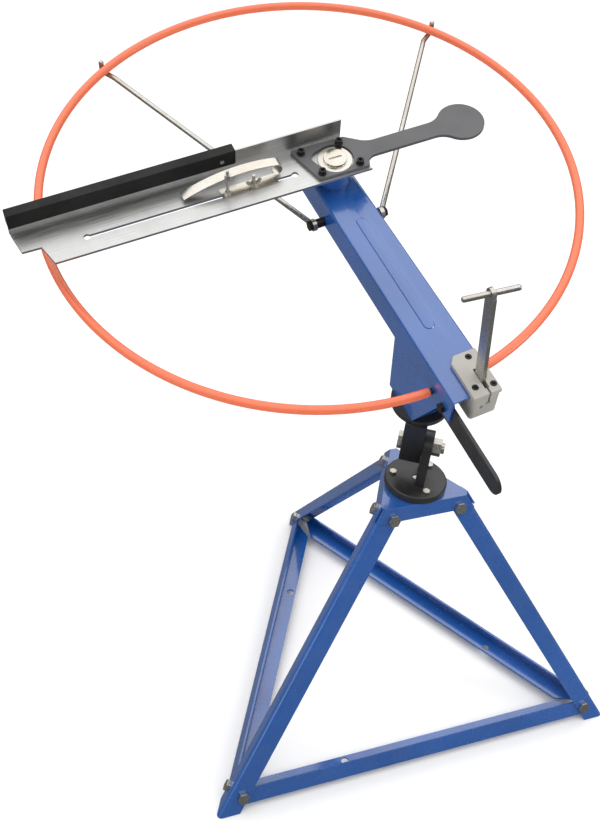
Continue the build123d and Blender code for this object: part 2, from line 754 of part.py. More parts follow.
tail_face = place(arm, 0, 0, arm_top)
with BuildPart() as tail_plate:
    with BuildSketch(tail_face) as plan:
        with BuildLine():
            Polyline((56, -37), (36, 29), (-41, 30), (tail_shoulder_front, neck_half),
                     (-paddle_reach, neck_half), (-paddle_reach, -neck_half),
                     (tail_shoulder_rear, -neck_half), (-28, -35), close=True)
        make_face()
        fillet(plan.vertices().filter_by(lambda v: abs(v.X - tail_shoulder_front) < 1), 15)
        fillet(plan.vertices().filter_by(lambda v: abs(v.X - tail_shoulder_rear) < 1), 34)
        fillet(plan.vertices().filter_by(lambda v: v.X > 30), 4)
        with Locations((-paddle_reach, 0)):
            Circle(paddle_radius)
        joint_x = sqrt(paddle_radius**2 - neck_half**2) - paddle_reach
        fillet(plan.vertices().filter_by(lambda v: abs(v.X - joint_x) < 1), paddle_blend)
    extrude(amount=tail_thick)
    with BuildSketch(tail_face):
        Circle(tail_opening)
        with Locations(tail_opening_end):
            Circle(tail_opening_small)
        make_hull()
    extrude(amount=tail_thick, mode=Mode.SUBTRACT)
    drill(tail_face, tail_screw_points, arm_screw / 2, 2 * tail_thick)
finish(tail_plate, "tail_plate")

with BuildPart() as tail_screws:
    for x, y in tail_screw_points:
        axis = place(arm, x, y, arm_top + tail_thick)
        pin(axis, arm_screw_head / 2, arm_washer, arm_washer + arm_screw)
        pin(axis, arm_screw_head / 2 + 1, 0, arm_washer)
        pin(axis, arm_screw / 2, -tail_thick - arm_thick - tail_nut - 1, 0)
        drill(place(axis, 0, 0, arm_washer + arm_screw), [(0, 0)], arm_screw_socket, arm_screw / 2)
finish(tail_screws, "tail_screws")

with BuildPart() as tail_nuts:
    for x, y in tail_screw_points:
        hexagon(place(arm, x, y, arm_under), tail_nut_hex, -tail_nut, 0, arm_screw / 2)
finish(tail_nuts, "tail_nuts")

# ---------------------------------------------------------------- clip
clip_floor = arm_top + body_gap
leaf_side = Plane(origin=place(arm, 0, 0, clip_floor + leaf_thick / 2).origin,
                  x_dir=arm.x_dir, z_dir=-arm.y_dir)
with BuildPart() as leaf_clip:
    with BuildSketch(leaf_side.offset(-leaf_wide / 2)):
        with BuildLine():
            flat = Line((stud_outer + 9, 0), (stud_inner - 36, 0))
        trace(line_width=leaf_thick)
    extrude(amount=leaf_wide)
    with BuildSketch(leaf_side.offset(arch_edge)):
        with BuildLine():
            bend = TangentArc((stud_inner - 36, 0), (stud_inner - 38, leaf_fold), tangent=(-1, 0))
            TangentArc(bend @ 1, (leaf_tip, leaf_tip_rise), tangent=bend % 1)
        trace(line_width=leaf_thick)
    extrude(amount=arch_wide)
    for x in (stud_outer, stud_inner):
        drill(place(arm, x, slot_line, clip_floor), [(0, 0)], stud_size / 2 + 0.2, 4)
finish(leaf_clip, "leaf_clip")

with BuildPart() as clip_studs:
    for x, top in ((stud_outer, stud_outer_rise), (stud_inner, stud_inner_rise)):
        axis = place(arm, x, slot_line, clip_floor + leaf_thick)
        pin(axis, stud_size / 2, -leaf_thick - arm_thick - 2 * body_gap - 2, top)
        hexagon(axis, stud_nut, -leaf_thick - arm_thick - 2 * body_gap - 4,
                -leaf_thick - arm_thick - 2 * body_gap)
finish(clip_studs, "clip_studs")

with BuildPart() as clip_nuts:
    stud_axis = place(arm, stud_outer, slot_line, clip_floor + leaf_thick)
    for height in stud_nut_heights:
        hexagon(stud_axis, stud_nut, height, height + stud_nut_tall, stud_size / 2)
finish(clip_nuts, "clip_nuts")

wing_axis = place(arm, stud_inner, slot_line, clip_floor + leaf_thick + body_gap)
with BuildPart() as wing_nut:
    with BuildSketch(wing_axis):
        Circle(5)
        Circle(stud_size / 2 + running_gap, mode=Mode.SUBTRACT)
    extrude(amount=7)
    for side in (-1, 1):
        wing_side = Plane(origin=wing_axis.origin, x_dir=arm.x_dir, z_dir=-arm.y_dir)
        with BuildSketch(wing_side.offset(-1)) as wing:
            with BuildLine():
                Polyline((side * 4, 1), (side * 9, 5), (side * 12, 11), (side * 8, 13), (side * 4, 7),
                         close=True)
            make_face()
            fillet(wing.vertices().group_by(SortBy.DISTANCE)[-1], 1)
        extrude(amount=2)
finish(wing_nut, "wing_nut")

# ---------------------------------------------------------------- trigger block and levers
block_slot_back = lever_pin_s - lever_wide / 2 - 9.0
block_slot_front = lever_pin_s + lever_wide / 2 + 6.0
with BuildPart() as trigger_block:
    with BuildSketch(place(head, 0, 0, 0)):
        with BuildLine():
            Polyline((block_back, -block_left + 8), (block_back + 10, -block_left), (block_front, -block_left),
                     (block_front, block_right), (block_back, block_right), close=True)
        make_face()
    extrude(amount=block_over)
    with BuildSketch(place(head, 0, 0, -block_under)):
        with Locations(((block_body_back + block_front) / 2, (block_right - block_left) / 2)):
            RectangleRounded(block_front - block_body_back, block_right + block_left, 5)
    extrude(amount=block_under)
    with BuildSketch(place(head, 0, 0, -block_under)):
        with Locations(((block_slot_back + block_slot_front) / 2, lever_line)):
            Rectangle(block_slot_front - block_slot_back, lever_thick + 2 * lever_gap)
    extrude(amount=block_under + block_over, mode=Mode.SUBTRACT)
    with BuildSketch(place(head, 0, 0, groove_low)):
        with Locations(((block_slot_front + block_front) / 2, lever_line)):
            Rectangle(block_front + 1 - block_slot_front, groove_wide)
    extrude(amount=block_over - groove_low, mode=Mode.SUBTRACT)
    front_face = Plane(origin=place(head, block_front, 0, 0).origin, x_dir=head.y_dir, z_dir=head.x_dir)
    drill(front_face, [(lever_line, groove_low)], groove_hole, front_hole_deep)
    drill(front_face, [(lever_line - side_hole_from_lever, side_hole_low)], side_hole, front_hole_deep)
    drill(Plane(origin=place(head, block_body_back, lever_line, rod_line).origin, x_dir=head.y_dir,
                z_dir=head.x_dir), [(0, 0)], rod_size / 2 + running_gap, 16)
    drill(across(lever_pin_s, -block_left, lever_pin_h), [(0, 0)], lever_pin_size / 2,
          block_left + block_right + 1)
    for s, t in block_screws_at:
        with BuildSketch(place(head, s, t, block_over)):
            Circle(block_head_size / 2 + 0.6)
        extrude(amount=-block_head_deep, mode=Mode.SUBTRACT)
        drill(place(head, s, t, 0), [(0, 0)], block_screw / 2, 2 * block_over)
finish(trigger_block, "trigger_block")

with BuildPart() as block_screws:
    for s, t in block_screws_at:
        axis = place(head, s, t, block_over)
        pin(axis, block_head_size / 2, -block_head_deep, -block_head_sunk)
        pin(axis, block_screw / 2, -block_over - sheet - 4, -block_head_deep)
        drill(place(axis, 0, 0, -block_head_sunk), [(0, 0)], 2.0, 2)
finish(block_screws, "block_screws")

with BuildPart() as lever_pin:
    pin(across(lever_pin_s, -block_left, lever_pin_h), lever_pin_size / 2, -block_left - block_right, 0)
finish(lever_pin, "lever_pin")

lever_side = Plane(across(lever_pin_s, lever_line + lever_thick / 2, lever_pin_h)
                   * Location((0, 0, 0), (0, 0, lever_back_lean)))
grip = Plane(place(lever_side, 0, lever_rise, lever_thick / 2) * Location((0, 0, 0), (0, handle_turn, 0)))
with BuildPart() as release_lever:
    with BuildSketch(lever_side) as plan:
        with Locations((0, (lever_rise - lever_drop) / 2)):
            RectangleRounded(lever_wide, lever_rise + lever_drop, 6)
        Circle(lever_pin_size / 2 + running_gap, mode=Mode.SUBTRACT)
        with Locations((0, lever_rise)):
            Circle(handle_size / 2 + handle_eye_wall)
    extrude(amount=lever_thick)
    drill(grip, [(0, 0)], handle_size / 2, 2 * lever_thick)
finish(release_lever, "release_lever")

with BuildPart() as handle_bar:
    pin(grip, handle_size / 2, -handle_long / 2, handle_long / 2)
    fillet(handle_bar.edges().filter_by(GeomType.CIRCLE), handle_size / 2 - 0.6)
finish(handle_bar, "handle_bar")

lock_side = across(0, sheet - beam_left + body_gap + lock_lever_thick, 0)
with BuildPart() as lock_lever:
    with BuildSketch(lock_side):
        with BuildLine():
            rear = lock_pivot_s - 1
            centre = lock_pivot_h - 4
            half_wide = lock_lever_wide / 2
            low = Line((rear, centre - half_wide), (lock_lever_tip - half_wide, centre - half_wide))
            tip = ThreePointArc(low @ 1, (lock_lever_tip, centre), (lock_lever_tip - half_wide, centre + half_wide))
            top = Line(tip @ 1, (rear, centre + half_wide))
            ThreePointArc(top @ 1, (rear - half_wide, centre), low @ 0)
        make_face()
        with Locations((lock_pivot_s, lock_pivot_h)):
            Circle(lock_bolt / 2 + running_gap, mode=Mode.SUBTRACT)
    extrude(amount=lock_lever_thick)
finish(lock_lever, "lock_lever")

with BuildPart() as lock_lever_bolt:
    axis = across(lock_pivot_s, -beam_left, lock_pivot_h)
    inner = -sheet - lock_lever_thick - 2 * body_gap
    pin(axis, lock_bolt / 2, inner - 6.5 - bolt_end, 0)
    hexagon(axis, 13, 0, 5.3)
    hexagon(axis, 13, inner - 6.5, inner)
finish(lock_lever_bolt, "lock_lever_bolt")

# ---------------------------------------------------------------- push rod and sear
lever_slope = radians(lever_back_lean)
rod_front = (lever_pin_s - lever_wide / 2 / cos(lever_slope)
             + (lever_pin_h - rod_line - rod_size / 2) * tan(lever_slope) - body_gap)
rod_back = -pivot_back + crank_radius + 18.0
rod_axis = Plane(origin=place(head, rod_back, lever_line, rod_line).origin, x_dir=head.y_dir, z_dir=head.x_dir)
with BuildPart() as push_rod:
    pin(rod_axis, rod_size / 2, 0, rod_front - rod_back)
finish(push_rod, "push_rod")

with BuildPart() as sear_block:
    with BuildSketch(rod_axis):
        Rectangle(9, 12)
    extrude(amount=-10)
finish(sear_block, "sear_block")

with BuildPart() as rod_guide:
    guide = Plane(rod_axis * Location((0, 0, 90)))
    with BuildSketch(guide):
        with Locations((0, (-sheet - rod_line) / 2 - 3)):
            Rectangle(11, -rod_line - sheet + 6)
        Circle(rod_size / 2 + running_gap, mode=Mode.SUBTRACT)
    extrude(amount=4)
finish(rod_guide, "rod_guide")

# ---------------------------------------------------------------- guard ring and its stays
with BuildPart() as guard_ring:
    with BuildSketch(ring_section(ring_right_angle)):
        Circle(ring_tube / 2)
        Circle(ring_bore / 2, mode=Mode.SUBTRACT)
    revolve(axis=ring_axis, revolution_arc=360 + ring_left_angle - ring_right_angle)
finish(guard_ring, "guard_ring")

with BuildPart() as ring_plugs:
    for angle, turn in ((ring_right_angle, plug_turn), (ring_left_angle, -plug_turn)):
        with BuildSketch(ring_section(angle)):
            Circle(ring_bore / 2)
            Circle(ring_screw / 2 + 0.1, mode=Mode.SUBTRACT)
        revolve(axis=ring_axis, revolution_arc=turn)
finish(ring_plugs, "ring_plugs")

with BuildPart() as ring_screws:
    for angle, toward in ((ring_right_angle, 1), (ring_left_angle, -1)):
        axis = ring_section(angle)
        if toward < 0:
            axis = Plane(origin=axis.origin, x_dir=axis.x_dir, z_dir=-axis.z_dir)
        pin(axis, ring_screw / 2, -8, 2 * sheet)
        stand_off = sheet + ring_screw_stand
        hexagon(axis, ring_screw_hex, stand_off, stand_off + ring_screw_head)
finish(ring_screws, "ring_screws")

stay_outer = ring_radius + ring_tube / 2 + stay_size / 2 + stay_clear
stay_under = ring_line - ring_tube / 2 - stay_size / 2 - stay_clear
stay_side = {"left": -beam_left, "right": right_edge(stay_bolt_s["right"])}
stay_out = {"left": -1, "right": 1}


def stay_plane(stay):
    # on the beam's side at the stay's bolt, local z outwards
    side = across(stay_bolt_s[stay], stay_side[stay], stay_bolt_h[stay])
    return Plane(origin=side.origin, x_dir=head.x_dir, z_dir=head.y_dir * stay_out[stay])


def ring_point(angle, radius, height):
    turn = radians(angle)
    return place(head, ring_centre_s + radius * cos(turn), ring_centre_t + radius * sin(turn), height).origin


def make_stay(stay):
    eye = stay_plane(stay)
    spacer = stay_spacer[stay]
    middle = spacer + stay_eye_thick / 2
    angle = stay_angles[stay]
    route = [eye.offset(middle).origin, ring_point(angle, ring_radius - 16, stay_under),
             ring_point(angle, stay_outer, stay_under), ring_point(angle, stay_outer, ring_line + 6)]
    with BuildPart() as rod:
        for start, end in zip(route, route[1:]):
            run = Plane(origin=start, z_dir=(end - start).normalized())
            pin(run, stay_size / 2, 0, (end - start).length)
        for point in route[1:]:
            with Locations(point):
                Sphere(stay_size / 2)
        pin(eye, stay_eye, spacer, spacer + stay_eye_thick)
        drill(eye, [(0, 0)], stay_bolt / 2 + running_gap, spacer + 2 * stay_eye_thick)
        with BuildSketch(eye.offset(spacer)) as trim:
            Circle(2 * stay_eye)
        extrude(trim.sketch, amount=-stay_size, mode=Mode.SUBTRACT)
        with BuildSketch(eye.offset(spacer + stay_eye_thick)) as trim_outer:
            Circle(small_hex * hex_factor + 1)
        extrude(trim_outer.sketch, amount=stay_size, mode=Mode.SUBTRACT)
    finish(rod, "ring_stay_" + stay)


for stay in ("left", "right"):
    make_stay(stay)

with BuildPart() as stay_bolts:
    for stay in ("left", "right"):
        axis = stay_plane(stay)
        outer = stay_spacer[stay] + stay_eye_thick
        pin(axis, stay_bolt / 2, -sheet - small_nut - bolt_end, outer)
        hexagon(axis, small_hex, outer, outer + small_head)
        pin(axis, stay_eye - 2, 0.3, stay_spacer[stay])
finish(stay_bolts, "stay_bolts")

with BuildPart() as stay_nuts:
    for stay in ("left", "right"):
        hexagon(stay_plane(stay), small_hex, -sheet - small_nut, -sheet - 0.1, stay_bolt / 2)
finish(stay_nuts, "stay_nuts")
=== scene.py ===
import json
import math

import bmesh
import bpy
import numpy as np
from mathutils import Matrix, Vector


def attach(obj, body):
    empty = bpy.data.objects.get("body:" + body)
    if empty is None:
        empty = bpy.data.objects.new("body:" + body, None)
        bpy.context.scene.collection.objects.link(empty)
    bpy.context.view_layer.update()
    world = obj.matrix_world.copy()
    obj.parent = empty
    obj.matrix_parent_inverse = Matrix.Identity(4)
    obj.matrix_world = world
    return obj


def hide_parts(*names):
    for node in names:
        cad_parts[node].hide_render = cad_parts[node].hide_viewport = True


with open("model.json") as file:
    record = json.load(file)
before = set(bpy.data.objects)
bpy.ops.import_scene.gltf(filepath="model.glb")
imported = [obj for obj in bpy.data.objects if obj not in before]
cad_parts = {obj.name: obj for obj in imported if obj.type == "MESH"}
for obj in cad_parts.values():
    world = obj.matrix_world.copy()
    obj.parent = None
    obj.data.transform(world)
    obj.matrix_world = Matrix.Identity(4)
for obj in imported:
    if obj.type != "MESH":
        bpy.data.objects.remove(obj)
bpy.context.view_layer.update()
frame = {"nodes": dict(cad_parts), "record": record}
record = frame["record"]
jointOf = {joint["name"]: joint for joint in record["behaviour"]["joints"]}
bodyOf = {node: body for body, nodes in record["behaviour"]["bodies"].items() for node in nodes}
slotOf = {row["node"]: row["material_slot"] for row in record["subparts"]}
print("frame loaded,", len(slotOf), "nodes")

# Lengths are in metres. Head frame: s forward along the beam, t to the right, h up from the beam's top face.
upAxis = np.array(jointOf["arm_turn"]["axis"])
sideAxis = np.array(jointOf["release"]["axis"])
foreAxis = np.cross(sideAxis, upAxis)
armAxis = np.array(jointOf["clip_slide"]["axis"])
throwAxis = np.cross(upAxis, armAxis)
pivotBack = 0.335   # from the arm's pivot to the origin of s, along the beam
headOrigin = np.array(jointOf["arm_turn"]["pos_m"]) + pivotBack * foreAxis


def onHead(s, t, h):
    forward, across, above = (np.multiply.outer(amount, axis)
                              for amount, axis in ((s, foreAxis), (t, sideAxis), (h, upAxis)))
    return headOrigin + forward + across + above


cameraSet = {
    "place": (-0.7595, -1.1529, 1.6586), "yaw": 0.4447, "pitch": 0.6776, "roll": 0.1364,
    "lens": 71.27, "sensor": 36,
}


def makeCamera(values):
    yaw, pitch, roll = values["yaw"], values["pitch"], values["roll"]
    forward = Vector((math.sin(yaw) * math.cos(pitch), math.cos(yaw) * math.cos(pitch), -math.sin(pitch)))
    right = Vector((math.cos(yaw), -math.sin(yaw), 0))
    over = right.cross(forward)
    across = right * math.cos(roll) + over * math.sin(roll)
    above = over * math.cos(roll) - right * math.sin(roll)
    data = bpy.data.cameras.new("viewCamera")
    data.sensor_fit = "HORIZONTAL"
    data.sensor_width = values["sensor"]
    data.lens = values["lens"]
    camera = bpy.data.objects.new("viewCamera", data)
    turn = Matrix((across, above, -forward)).transposed().to_4x4()
    camera.matrix_world = Matrix.Translation(values["place"]) @ turn
    bpy.context.scene.collection.objects.link(camera)
    bpy.context.scene.camera = camera


makeCamera(cameraSet)

lightSet = {
    "dome": {"aim": (0.08, -0.12, -1.0), "spread": 2.1, "strength": 3.3},
    "leftFill": {"place": (-2.4, -1.0, 0.9), "aim": (0, 0, 0.5), "size": 0.9, "watts": 2.5},
    "rightFill": {"place": (2.2, -1.6, 1.3), "aim": (0, 0, 0.5), "size": 0.9, "watts": 12},
    "worldGrey": 1.0, "worldStrength": 0.18,
}


def aimLamp(name, kind, values, place):
    data = bpy.data.lights.new(name, kind)
    lamp = bpy.data.objects.new(name, data)
    lamp.location = place
    lamp.rotation_euler = (Vector(values["aim"]) - Vector(place)).to_track_quat("-Z", "Y").to_euler()
    bpy.context.scene.collection.objects.link(lamp)
    return data


def makeLights(values):
    # one wide soft dome from above, and two small side fills
    dome = aimLamp("dome", "SUN", values["dome"], (0, 0, 0))
    dome.angle = values["dome"]["spread"]
    dome.energy = values["dome"]["strength"]
    for name in ("leftFill", "rightFill"):
        fill = aimLamp(name, "AREA", values[name], values[name]["place"])
        fill.shape = "DISK"
        fill.size = values[name]["size"]
        fill.energy = values[name]["watts"]
    world = bpy.data.worlds.new("paleRoom")
    world.use_nodes = True
    sky = world.node_tree.nodes["Background"]
    sky.inputs["Color"].default_value = (values["worldGrey"],) * 3 + (1,)
    sky.inputs["Strength"].default_value = values["worldStrength"]
    bpy.context.scene.world = world
    bpy.context.scene.view_settings.view_transform = "Standard"


makeLights(lightSet)

floorSet = {"grey": 0.95, "rough": 0.75, "reach": 7.0, "height": -0.0006}


def makeFloor(values):
    reach, grey = values["reach"], values["grey"]
    corners = [(-reach, -reach, 0), (reach, -reach, 0), (reach, reach, 0), (-reach, reach, 0)]
    mesh = bpy.data.meshes.new("paleFloor")
    mesh.from_pydata(corners, [], [(0, 1, 2, 3)])
    floor = bpy.data.objects.new("paleFloor", mesh)
    floor.location.z = values["height"]   # just under the feet
    bpy.context.scene.collection.objects.link(floor)
    paint = bpy.data.materials.new("paleFloorPaint")
    paint.use_nodes = True
    shader = paint.node_tree.nodes["Principled BSDF"]
    shader.inputs["Base Color"].default_value = (grey, grey, grey, 1)
    shader.inputs["Roughness"].default_value = values["rough"]
    mesh.materials.append(paint)
    floor.visible_glossy = False   # the metals and the paint mirror a darker room, as in a studio


makeFloor(floorSet)
print("camera, lights and floor placed")


def newGroup(name, inputs, outputs):
    group = bpy.data.node_groups.new(name, "ShaderNodeTree")
    for label, kind, value in inputs:
        socket = group.interface.new_socket(label, in_out="INPUT", socket_type=kind)
        if value is not None:
            socket.default_value = value
    for label in outputs:
        group.interface.new_socket(label, in_out="OUTPUT", socket_type="NodeSocketFloat")
    return group, group.nodes.new("NodeGroupInput"), group.nodes.new("NodeGroupOutput")


def feed(tree, source, socket):
    # a number is set on the socket, anything else is linked to it
    if isinstance(source, (int, float)):
        socket.default_value = source
    else:
        tree.links.new(source, socket)


def noiseNode(tree, vector, scale, detail, rough=0.55):
    node = tree.nodes.new("ShaderNodeTexNoise")
    node.inputs["Detail"].default_value = detail
    node.inputs["Roughness"].default_value = rough
    tree.links.new(vector, node.inputs["Vector"])
    feed(tree, scale, node.inputs["Scale"])
    return node.outputs["Fac"]


def rangeNode(tree, value, low, high, toLow=0.0, toHigh=1.0):
    node = tree.nodes.new("ShaderNodeMapRange")
    node.interpolation_type = "SMOOTHSTEP"
    for label, source in (("From Min", low), ("From Max", high), ("To Min", toLow), ("To Max", toHigh)):
        feed(tree, source, node.inputs[label])
    tree.links.new(value, node.inputs["Value"])
    return node.outputs["Result"]


def mathNode(tree, kind, first, second):
    node = tree.nodes.new("ShaderNodeMath")
    node.operation = kind
    feed(tree, first, node.inputs[0])
    feed(tree, second, node.inputs[1])
    return node.outputs[0]


coatPattern = {
    "peelScale": 500.0, "peelDetail": 2.0,
    "toneScale": 5.0, "toneDetail": 3.0, "toneFrom": 0.35, "toneTo": 0.65,
    "smudgeScale": 22.0, "smudgeDetail": 6.0, "smudgeRough": 0.65, "smudgeFrom": 0.35, "smudgeTo": 0.7,
    "scuffScale": 95.0, "scuffDetail": 8.0, "scuffRough": 0.7, "scuffLevel": 0.72, "scuffTo": 0.85,
    "scuffDepth": 0.6,
}


def makeCoatGroup(values):
    # powder coat and castings: fine peel, broad tone drift, soft smudges and a few scuffs
    group, start, end = newGroup(
        "coatSurface",
        [("Vector", "NodeSocketVector", None), ("Peel Scale", "NodeSocketFloat", values["peelScale"]),
         ("Smudge Scale", "NodeSocketFloat", values["smudgeScale"]),
         ("Scuff Level", "NodeSocketFloat", values["scuffLevel"])],
        ["Tone", "Smudge", "Scuff", "Height"])
    place = start.outputs["Vector"]
    peel = noiseNode(group, place, start.outputs["Peel Scale"], values["peelDetail"])
    tone = noiseNode(group, place, values["toneScale"], values["toneDetail"])
    smudge = noiseNode(group, place, start.outputs["Smudge Scale"], values["smudgeDetail"],
                       values["smudgeRough"])
    scratch = noiseNode(group, place, values["scuffScale"], values["scuffDetail"], values["scuffRough"])
    scuff = rangeNode(group, scratch, start.outputs["Scuff Level"], values["scuffTo"])
    sunk = mathNode(group, "MULTIPLY", scuff, values["scuffDepth"])
    group.links.new(rangeNode(group, tone, values["toneFrom"], values["toneTo"]), end.inputs["Tone"])
    group.links.new(rangeNode(group, smudge, values["smudgeFrom"], values["smudgeTo"]), end.inputs["Smudge"])
    group.links.new(scuff, end.inputs["Scuff"])
    group.links.new(mathNode(group, "SUBTRACT", peel, sunk), end.inputs["Height"])
    return group


grainPattern = {
    "streakScale": 900.0, "stretch": 0.03, "streakDetail": 5.0, "streakRough": 0.6,
    "streakFrom": 0.3, "streakTo": 0.7,
    "stainScale": 18.0, "stainDetail": 6.0, "stainRough": 0.6, "stainFrom": 0.4, "stainTo": 0.68,
}


def makeGrainGroup(values):
    # metal and extruded stock: streaks drawn out along X of the vector that it is given
    group, start, end = newGroup(
        "drawnGrain",
        [("Vector", "NodeSocketVector", None), ("Streak Scale", "NodeSocketFloat", values["streakScale"]),
         ("Stretch", "NodeSocketFloat", values["stretch"]),
         ("Stain Scale", "NodeSocketFloat", values["stainScale"])],
        ["Streak", "Stain", "Height"])
    place = start.outputs["Vector"]
    split = group.nodes.new("ShaderNodeSeparateXYZ")
    join = group.nodes.new("ShaderNodeCombineXYZ")
    group.links.new(place, split.inputs[0])
    group.links.new(mathNode(group, "MULTIPLY", split.outputs[0], start.outputs["Stretch"]), join.inputs[0])
    group.links.new(split.outputs[1], join.inputs[1])
    group.links.new(split.outputs[2], join.inputs[2])
    streak = noiseNode(group, join.outputs[0], start.outputs["Streak Scale"], values["streakDetail"],
                       values["streakRough"])
    stain = noiseNode(group, place, start.outputs["Stain Scale"], values["stainDetail"], values["stainRough"])
    group.links.new(rangeNode(group, streak, values["streakFrom"], values["streakTo"]), end.inputs["Streak"])
    group.links.new(rangeNode(group, stain, values["stainFrom"], values["stainTo"]), end.inputs["Stain"])
    group.links.new(streak, end.inputs["Height"])
    return group


coatGroup = makeCoatGroup(coatPattern)
grainGroup = makeGrainGroup(grainPattern)


def mixColour(tree, amount, first, second):
    node = tree.nodes.new("ShaderNodeMix")
    node.data_type = "RGBA"
    tree.links.new(amount, node.inputs["Factor"])
    for label, value in (("A", first), ("B", second)):
        socket = [s for s in node.inputs if s.name == label and s.type == "RGBA"][0]
        if isinstance(value, tuple):
            socket.default_value = value + (1,)
        else:
            tree.links.new(value, socket)
    return [s for s in node.outputs if s.type == "RGBA"][0]


def startMaterial(name, values):
    material = bpy.data.materials.new(name)
    material.use_nodes = True
    tree = material.node_tree
    shader = tree.nodes["Principled BSDF"]
    shader.inputs["Metallic"].default_value = values.get("metallic", 0.0)
    shader.inputs["Coat Weight"].default_value = values.get("coat", 0.0)
    shader.inputs["Coat Roughness"].default_value = values.get("coatRough", 0.1)
    shader.inputs["Specular IOR Level"].default_value = values.get("specular", 0.5)
    shader.inputs["IOR"].default_value = values.get("ior", 1.5)
    shader.inputs["Coat IOR"].default_value = values.get("ior", 1.5)
    place = tree.nodes.new("ShaderNodeTexCoord").outputs["Object"]
    if "turn" in values:
        mapping = tree.nodes.new("ShaderNodeMapping")
        mapping.inputs["Rotation"].default_value = values["turn"]
        tree.links.new(place, mapping.inputs["Vector"])
        place = mapping.outputs["Vector"]
    return material, tree, shader, place


def addBump(tree, shader, height, strength, distance):
    bump = tree.nodes.new("ShaderNodeBump")
    bump.inputs["Strength"].default_value = strength
    bump.inputs["Distance"].default_value = distance
    tree.links.new(height, bump.inputs["Height"])
    tree.links.new(bump.outputs["Normal"], shader.inputs["Normal"])


def coatMaterial(name, values):
    material, tree, shader, place = startMaterial(name, values)
    group = tree.nodes.new("ShaderNodeGroup")
    group.node_tree = coatGroup
    group.inputs["Peel Scale"].default_value = values["peelScale"]
    group.inputs["Scuff Level"].default_value = values["scuffLevel"]
    tree.links.new(place, group.inputs["Vector"])
    body = mixColour(tree, group.outputs["Tone"], values["deep"], values["light"])
    worn = mixColour(tree, group.outputs["Scuff"], body, values["scuff"])
    tree.links.new(worn, shader.inputs["Base Color"])
    rough = rangeNode(tree, group.outputs["Smudge"], 0.0, 1.0, values["roughLow"], values["roughHigh"])
    tree.links.new(rough, shader.inputs["Roughness"])
    addBump(tree, shader, group.outputs["Height"], values["bump"], values["bumpDepth"])
    return material


def grainMaterial(name, values):
    material, tree, shader, place = startMaterial(name, values)
    group = tree.nodes.new("ShaderNodeGroup")
    group.node_tree = grainGroup
    group.inputs["Streak Scale"].default_value = values["streakScale"]
    group.inputs["Stretch"].default_value = values["stretch"]
    tree.links.new(place, group.inputs["Vector"])
    body = mixColour(tree, group.outputs["Streak"], values["deep"], values["light"])
    stained = mixColour(tree, group.outputs["Stain"], body, values["stain"])
    tree.links.new(stained, shader.inputs["Base Color"])
    rough = rangeNode(tree, group.outputs["Streak"], 0.0, 1.0, values["roughLow"], values["roughHigh"])
    tree.links.new(rough, shader.inputs["Roughness"])
    addBump(tree, shader, group.outputs["Height"], values["bump"], values["bumpDepth"])
    return material


def turnTo(first, second, third):
    # the Mapping rotation that gives coordinates along these three axes
    return tuple(Matrix((tuple(first), tuple(second), tuple(third))).to_euler())


armTurn = turnTo(armAxis, throwAxis, upAxis)
headTurn = turnTo(foreAxis, sideAxis, upAxis)

